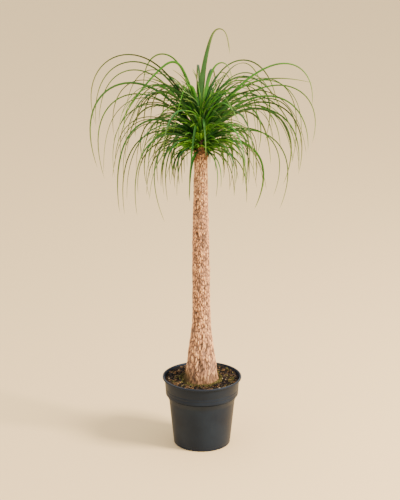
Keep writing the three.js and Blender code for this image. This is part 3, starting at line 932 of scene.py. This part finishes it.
def scattered_leaf(index, draw):
    """A leaf of the big head. Towards the front the leaves part to either side of the trunk."""
    age = (index + 0.5) / SCATTERED_LEAVES
    away = from_front(index * GOLDEN_ANGLE + 9 * draw())
    parted = abs(away) + PARTING * (1 + math.cos(math.radians(away))) / 2
    facing = max(0, math.cos(math.radians(parted)))
    behind = max(0, -math.cos(math.radians(parted)))
    grown, spent = between(age, 0, GROWN_AT), between(age, SHORTER_FROM, 1)
    launch = max(-3, 86 - 84 * age ** 1.2 + 6 * draw())
    length = (NEWEST_LENGTH + GROWTH * grown - SHORTENING * spent) * (0.9 + 0.25 * draw())
    sideways = math.cos(math.radians(away + FRONT))
    return {
        "azimuth": math.copysign(parted, away) + FRONT, "root": mix(HIGHEST_ROOT, LOWEST_ROOT, age),
        "launch": launch, "length": length * (1 - 0.13 * facing - 0.1 * behind),
        "tip": -30 - 66 * grown + 14 * draw(), "bend_at": 0.6 - 0.2 * age + 0.06 * draw(),
        "softness": 0.12 + 0.03 * draw(), "even": 0.3 + 0.12 * draw(), "drift": 12 * draw(),
        "width": 10.2 + 2 * draw(), "roll": 25 * draw() - 40 * sideways,
        "youth_and_shade_lift": max(0, SHORTER_FROM - age), "blade_end": BLADE_END,
    }


leaf_draw = seeded_draw(20260)
scattered = [scattered_leaf(i, leaf_draw) for i in range(SCATTERED_LEAVES)]
print("the longest scattered leaf is", round(max(leaf["length"] for leaf in scattered)), "mm long")

# %% Inner leaves
INNER_LEAVES = 290
INNER_LENGTHS = (182, 195)


def inner_leaf(index, draw):
    """A shorter leaf that fills the heart of the head. At the front it stops short of the trunk's bark."""
    age = (index + 0.5) / INNER_LEAVES
    azimuth = index * GOLDEN_ANGLE + 60 + 20 * draw()
    facing = max(0, math.cos(math.radians(from_front(azimuth))))
    launch = max(6 + 24 * facing, 86 - 80 * age ** 1.3 + 10 * draw())
    grown = mix(*INNER_LENGTHS, between(age, 0, GROWN_AT))
    length = (grown - 50 * age + 20 * draw()) * (1 - 0.5 * facing * age) * (1 - 0.25 * facing)
    # The older inner leaves, low and deep in the heart, are painted brighter, to lift the shade that falls
    # there.
    return {
        "azimuth": azimuth, "root": mix(HIGHEST_ROOT - 2, LOWEST_ROOT + 4, age), "launch": launch,
        "length": length, "tip": mix(5 - 90 * age, 20 - 40 * age, facing) + 18 * draw(),
        "bend_at": 0.68 + 0.1 * draw(), "softness": 0.14, "even": 0.24, "drift": 16 * draw(),
        "width": 10.5 + 2.5 * draw(), "roll": 45 * draw(), "youth_and_shade_lift": 0.3 + 0.6 * age, "blade_end": BLADE_END,
    }


inner = [inner_leaf(i, leaf_draw) for i in range(INNER_LEAVES)] + [heart_leaf(row) for row in HEART_LEAVES]
print(len(inner), "leaves fill the heart")

# %% Skirt leaves
SKIRT_LEAVES = 26
SKIRT_ROOT = 938
SKIRT_OPENING = 34
SKIRT_SPAN = 292
SHORT_BLADE_END = 1.05


def skirt_leaf(index, draw):
    """A short soft leaf just above the trunk's top. At the front they leave the ringed stem in view."""
    azimuth = FRONT + SKIRT_OPENING + index * SKIRT_SPAN / SKIRT_LEAVES + 8 * draw()
    # The skirt leaves are painted brighter, to lift the shade that the head casts round the trunk's top.
    return {
        "azimuth": azimuth, "root": SKIRT_ROOT + 10 * draw(), "launch": 28 + 26 * draw(),
        "tip": -62 + 25 * draw(), "length": 72 + 26 * draw(), "bend_at": 0.5, "softness": 0.15, "even": 0.4,
        "drift": 40 * draw(), "width": 8 + 2.5 * draw(), "roll": 40 * draw(), "youth_and_shade_lift": 0.4 + 0.3 * draw(),
        "blade_end": SHORT_BLADE_END,
    }


inner += [skirt_leaf(i, leaf_draw) for i in range(SKIRT_LEAVES)]
outline = [outline_leaf(row, leaf_draw) for row in OUTLINE_LEAVES]
print("the longest leaf is", round(max(leaf["length"] for leaf in outline + scattered)), "mm long")

# %% [markdown]
# ## A blade
#
# A curve with a bevel would keep one section from end to end, but a leaf changes on its way: where it
# leaves the head it is wide and clasps the stem, and its end is a thread. So a blade starts as a grid whose
# columns run round the section of the leaf and whose rows run along it. Each point of the grid then moves
# to its place on the leaf, and the doubles at the seam, the root and the tip are merged into a closed thin
# solid.

# %% Shape of a blade
ALONG = 30
UPPER_FACE = [(-1, 0.0), (-0.5, -0.17), (0, -0.36), (0.5, -0.17), (1, 0.0)]
SECTION = UPPER_FACE + UPPER_FACE[3:0:-1]
UNDERSIDE = (0, 0, 0, 0, 0, 0.6, 0.8, 0.6)
CLASP = 0.08
CLASP_SWELL = 0.8
THREAD = 0.1
TAPER = 1.3
STATION_TRIES = 400
EVEN_ROWS = 0.6
FIRST_ROW = 0.003


def leaf_stations(leaf):
    """Where the rows of a blade lie, from 0 to 1: closer together where the leaf bends."""
    stations = [0.0, FIRST_ROW]
    for i in range(1, STATION_TRIES):
        t = i / STATION_TRIES
        passed = EVEN_ROWS * t + (1 - EVEN_ROWS) * turned_share(leaf, t)
        if passed >= (len(stations) - 1) / (ALONG - 1):
            stations.append(t)
    while len(stations) < ALONG:
        stations.append(mix(stations[-1], 1, 0.5))
    return stations[:ALONG] + [1.0]


def half_width(leaf, t):
    """Half the width of a leaf at t: it clasps the stem, then narrows, and ends as a thread."""
    clasp = 1 + CLASP_SWELL * (1 - between(t, 0, CLASP)) ** 2
    taper = max(THREAD, 1 - (t / leaf["blade_end"]) ** TAPER)
    return leaf["width"] * taper * clasp / 2 if 0 < t < 1 else 0.0


print("a blade is a grid of", len(SECTION), "by", ALONG, "faces")

# %% Blades
FINE_SEAM = 0.002
ROLL_SHARES = (0.7, 1.2)
MIDDLE_TINT = 0.29
TINT_SPREAD = 0.27
YOUTH_AND_LIFT_TINT = 0.5


def add_blade(bm, leaf, tint):
    """Adds one leaf to a bmesh, with its tint from 0 to 1."""
    along, across, shade = (bm.verts.layers.float[name] for name in ("along", "across", "tint"))
    path, stations = leaf_path(leaf), leaf_stations(leaf)
    made = bmesh.ops.create_grid(bm, x_segments=len(SECTION), y_segments=ALONG, size=0.5)
    for vert in made["verts"]:
        column = round((vert.co.x + 0.5) * len(SECTION)) % len(SECTION)
        t = stations[round((vert.co.y + 0.5) * ALONG)]
        direction, heading = leaf_direction(leaf, t), leaf_heading(leaf, t)
        side = Vector((-math.sin(heading), math.cos(heading), 0))
        side.rotate(Matrix.Rotation(math.radians(leaf["roll"] * mix(*ROLL_SHARES, t)), 3, direction))
        half = half_width(leaf, t)
        offset, depth = SECTION[column]
        below = UNDERSIDE[column] if half else 0
        lift = direction.cross(side) * (depth * half - below)
        vert.co = (point_at(path, t) + side * (offset * half) + lift) * MM
        vert[along], vert[across], vert[shade] = t, offset, tint
    bmesh.ops.remove_doubles(bm, verts=made["verts"], dist=FINE_SEAM * MM)


def blades(leaves, seed):
    """A bmesh of many leaves, each with a tint of its own: new ones are bright, old ones are dark, and some
    are painted brighter to lift their shade.
    """
    draw = seeded_draw(seed)
    bm = bmesh.new()
    for name in ("along", "across", "tint"):
        bm.verts.layers.float.new(name)
    for leaf in leaves:
        # A leaf's tint grows with how new it is and, on some leaves, with painted light that lifts their
        # shade.
        tint = MIDDLE_TINT + TINT_SPREAD * draw() + YOUTH_AND_LIFT_TINT * leaf["youth_and_shade_lift"]
        add_blade(bm, leaf, between(tint, 0, 1))
    bmesh.ops.recalc_face_normals(bm, faces=bm.faces)
    return bm


darkest, brightest = (round(MIDDLE_TINT + side * TINT_SPREAD, 2) for side in (-1, 1))
print("grown leaves get tints from", darkest, "to", brightest, "and young ones more")

# %% [markdown]
# ## The leaves' finish
#
# A leaf is green through and through, under a waxy skin with a soft gloss. Its tint comes from the blade's
# own attribute, so that no two leaves are quite alike. The veins follow the attribute that runs across the
# blade, because a pattern in space would not bend with it.

# %% Leaf material
def strap_leaf():
    """A living strap leaf: a waxy skin over parallel veins. The older it is, the drier its tip."""
    material, shader = new_material("ponytail palm leaf")
    along = add_node(material, "ShaderNodeAttribute", attribute_name="along").outputs["Fac"]
    across = add_node(material, "ShaderNodeAttribute", attribute_name="across").outputs["Fac"]
    tint = add_node(material, "ShaderNodeAttribute", attribute_name="tint").outputs["Fac"]
    place = add_node(material, "ShaderNodeTexCoord").outputs["Object"]
    blotch = add_node(material, "ShaderNodeTexNoise", {"Vector": place, "Scale": 30.0, "Detail": 2.0})
    centred = add_node(material, "ShaderNodeMath", {0: blotch.outputs["Fac"], 1: 0.5}, operation="SUBTRACT")
    varied = add_node(material, "ShaderNodeMath", {
        0: centred.outputs[0], 1: 0.5, 2: tint}, operation="MULTIPLY_ADD")
    green = add_node(material, "ShaderNodeValToRGB", {
        "Fac": varied.outputs[0]}, stops=[(0.0, "#1b391a"), (1.0, "#8ec728"), (0.35, "#285528"), (0.7,
        "#448322")])
    # A leaf has some twenty fine veins, 0.5 mm apart. Seven are drawn, so that they show at this distance.
    veins = add_node(material, "ShaderNodeMath", {0: across, 1: 22.0}, operation="MULTIPLY")
    wave = add_node(material, "ShaderNodeMath", {0: veins.outputs[0]}, operation="SINE")
    ribs = add_node(material, "ShaderNodeMapRange", {
        "Value": wave.outputs[0], "From Min": -1.0, "To Min": 0.0, "To Max": 0.12})
    veined = add_node(material, "ShaderNodeMix", {
        "Factor": ribs.outputs["Result"], "B": linear("#7ba24c"), "A": green.outputs["Color"]},
        data_type="RGBA")
    pale = add_node(material, "ShaderNodeMapRange", {
        "Value": along, "From Min": 0.0, "From Max": 0.12, "To Min": 0.6, "To Max": 0.0})
    based = add_node(material, "ShaderNodeMix", {
        "Factor": pale.outputs["Result"], "B": linear("#84a23c"), "A": veined.outputs["Result"]},
        data_type="RGBA")
    drying = add_node(material, "ShaderNodeMapRange", {"Value": along, "From Min": 0.62, "From Max": 1.0})
    age = add_node(material, "ShaderNodeMapRange", {"Value": tint, "To Min": 1.0, "To Max": 0.0})
    dry = add_node(material, "ShaderNodeMath", {
        0: drying.outputs["Result"], 1: age.outputs["Result"]}, operation="MULTIPLY")
    tip = add_node(material, "ShaderNodeMix", {
        "Factor": dry.outputs[0], "A": based.outputs["Result"], "B": linear("#848f4b")}, data_type="RGBA")
    bump = add_node(material, "ShaderNodeBump", {
        "Height": wave.outputs[0], "Strength": 0.25, "Distance": 0.15 * MM})
    feed(shader, {
        "Base Color": tip.outputs["Result"], "Normal": bump.outputs["Normal"], "Roughness": 0.45, "IOR":
        1.45, "Specular IOR Level": 0.18})
    return material


leaf_skin = strap_leaf()
make_piece("strap_leaves", blades(outline + scattered, 8), leaf_skin, replaced="leaf_crown")
make_piece("inner_leaves", blades(inner, 9), leaf_skin)

# %% [markdown]
# ## The top of the trunk
#
# Between the lowest leaves one can see the tip of the trunk: brown rings, where older leaves have dropped
# off, and the dry stubs that they left behind. The tip is one more spun profile, with the rings as a wave
# in it. The stubs are short blades that lie close to the stem, so the function for leaves can make them
# too.

# %% Growing tip
TIP_FOOT = TRUNK_TOP + 0.3
TIP_TOP = 988
TIP_FOOT_RADIUS = 18.8
STEM_RADIUS = 19
RING_STEP = 3.4
RING_RELIEF = 0.8
TIP_RINGS = 20
TIP_STEPS = 64


def tip_mesh():
    """The ringed stem that the leaves stand on. It swells a little, then narrows."""
    profile = [(0, TIP_FOOT), (TIP_FOOT_RADIUS, TIP_FOOT)]
    for i in range(1, TIP_RINGS):
        z = TIP_FOOT + RING_STEP * i
        radius = STEM_RADIUS + 2 * between(z, 918, 940) - 13 * between(z, 945, 985)
        profile.append((radius + RING_RELIEF * math.sin(i * math.pi / 2), z))
    bm = spun([*profile, (0, TIP_TOP)], TIP_STEPS)
    tint = bm.verts.layers.float.new("tint")
    for vert in bm.verts:
        z = vert.co.z / MM
        vert.co.x += TRUNK_X * MM
        vert[tint] = 0.4 + 0.4 * math.sin(z * 1.85) - 0.4 * between(z, 945, 965)
    return bm


# Old leaf scars are dry and fibrous, red brown where they are fresh and tan where they have weathered.
scar_colours = [(0.0, "#33281a"), (1.0, "#dcae84"), (0.5, "#94694a")]
leaf_scars = tinted("leaf scars", scar_colours, roughness=0.9, grain=4.0)
make_piece("trunk_tip", tip_mesh(), leaf_scars)

# %% Dry stubs
STUBS = 34
STUB_ROOTS = (932, 899)
STUB_REACH = 19.6


def stub(index, draw):
    """A dry leaf base that stayed on the stem."""
    age = (index + 0.5) / STUBS
    return {
        "azimuth": index * GOLDEN_ANGLE + 12 * draw(), "root": mix(*STUB_ROOTS, age), "reach": STUB_REACH,
        "launch": 74 + 8 * draw(), "tip": 50 + 30 * draw(), "length": 17 + 6 * draw(), "bend_at": 0.6,
        "softness": 0.12, "even": 0.4, "drift": 30 * draw(), "width": 11 + 3 * draw(), "roll": 12 * draw(),
        "youth_and_shade_lift": 0.5 * draw(), "blade_end": SHORT_BLADE_END,
    }


stub_draw = seeded_draw(99)
stubs = blades([stub(i, stub_draw) for i in range(STUBS)], 10)
make_piece("dry_stubs", stubs, leaf_scars)

# %% [markdown]
# ## Floor, light and camera
#
# The plant stands on a plain pale floor that fills the view. A large soft lamp from the right is the key
# light, a weak one from the left and a pale sky fill the shadows. The camera stands far off with a long lens
# and looks down by 18 degrees, because a near one would splay the pot and make its foot too small.

# %% Floor
FLOOR_SIDE = 60


def plain_floor():
    """A matt, pale warm floor."""
    material, shader = new_material("pale floor")
    feed(shader, {"Base Color": linear("#ffdca2"), "Roughness": 0.9})
    bm = bmesh.new()
    bmesh.ops.create_grid(bm, x_segments=1, y_segments=1, size=FLOOR_SIDE / 2)
    floor = loose_object("floor", bm)
    floor.data.materials.append(material)


plain_floor()
print("the floor is", FLOOR_SIDE, "m square")

# %% Light
PLANT_MIDDLE = Vector((0, 0, 0.6))


def soft_lamp(name, place, size, power, colour):
    """A square lamp that faces the middle of the plant."""
    light = bpy.data.lights.new(name, "AREA")
    light.size = size
    light.energy = power
    light.color = linear(colour)[:3]
    lamp = bpy.data.objects.new(name, light)
    lamp.location = place
    lamp.rotation_euler = (PLANT_MIDDLE - Vector(place)).to_track_quat("-Z", "Y").to_euler()
    bpy.context.scene.collection.objects.link(lamp)


soft_lamp("key", place=(3.2, -1.3, 2.9), size=1.2, power=455, colour="#fff1e0")
soft_lamp("fill", place=(-3.0, -2.5, 1.8), size=2.5, power=20, colour="#f2f5ff")

world = bpy.data.worlds.new("studio")
bpy.context.scene.world = world
world.use_nodes = True
feed(world.node_tree.nodes["Background"], {"Color": linear("#f3f0ec"), "Strength": 1.47})
print("two lamps and a pale sky")

# %% Camera
CAMERA_PLACE = (-0.006, -5.396, 2.34)
CAMERA_PITCH = 17.71
LENS = 136.8
SENSOR = 36
camera_data = bpy.data.cameras.new("camera")
camera_data.sensor_width = SENSOR
camera_data.lens = LENS
camera = bpy.data.objects.new("camera", camera_data)
camera.location = CAMERA_PLACE
camera.rotation_euler = (math.radians(90 - CAMERA_PITCH), 0, 0)
bpy.context.scene.collection.objects.link(camera)
bpy.context.scene.camera = camera
print("the camera stands", round(-CAMERA_PLACE[1], 1), "m away")
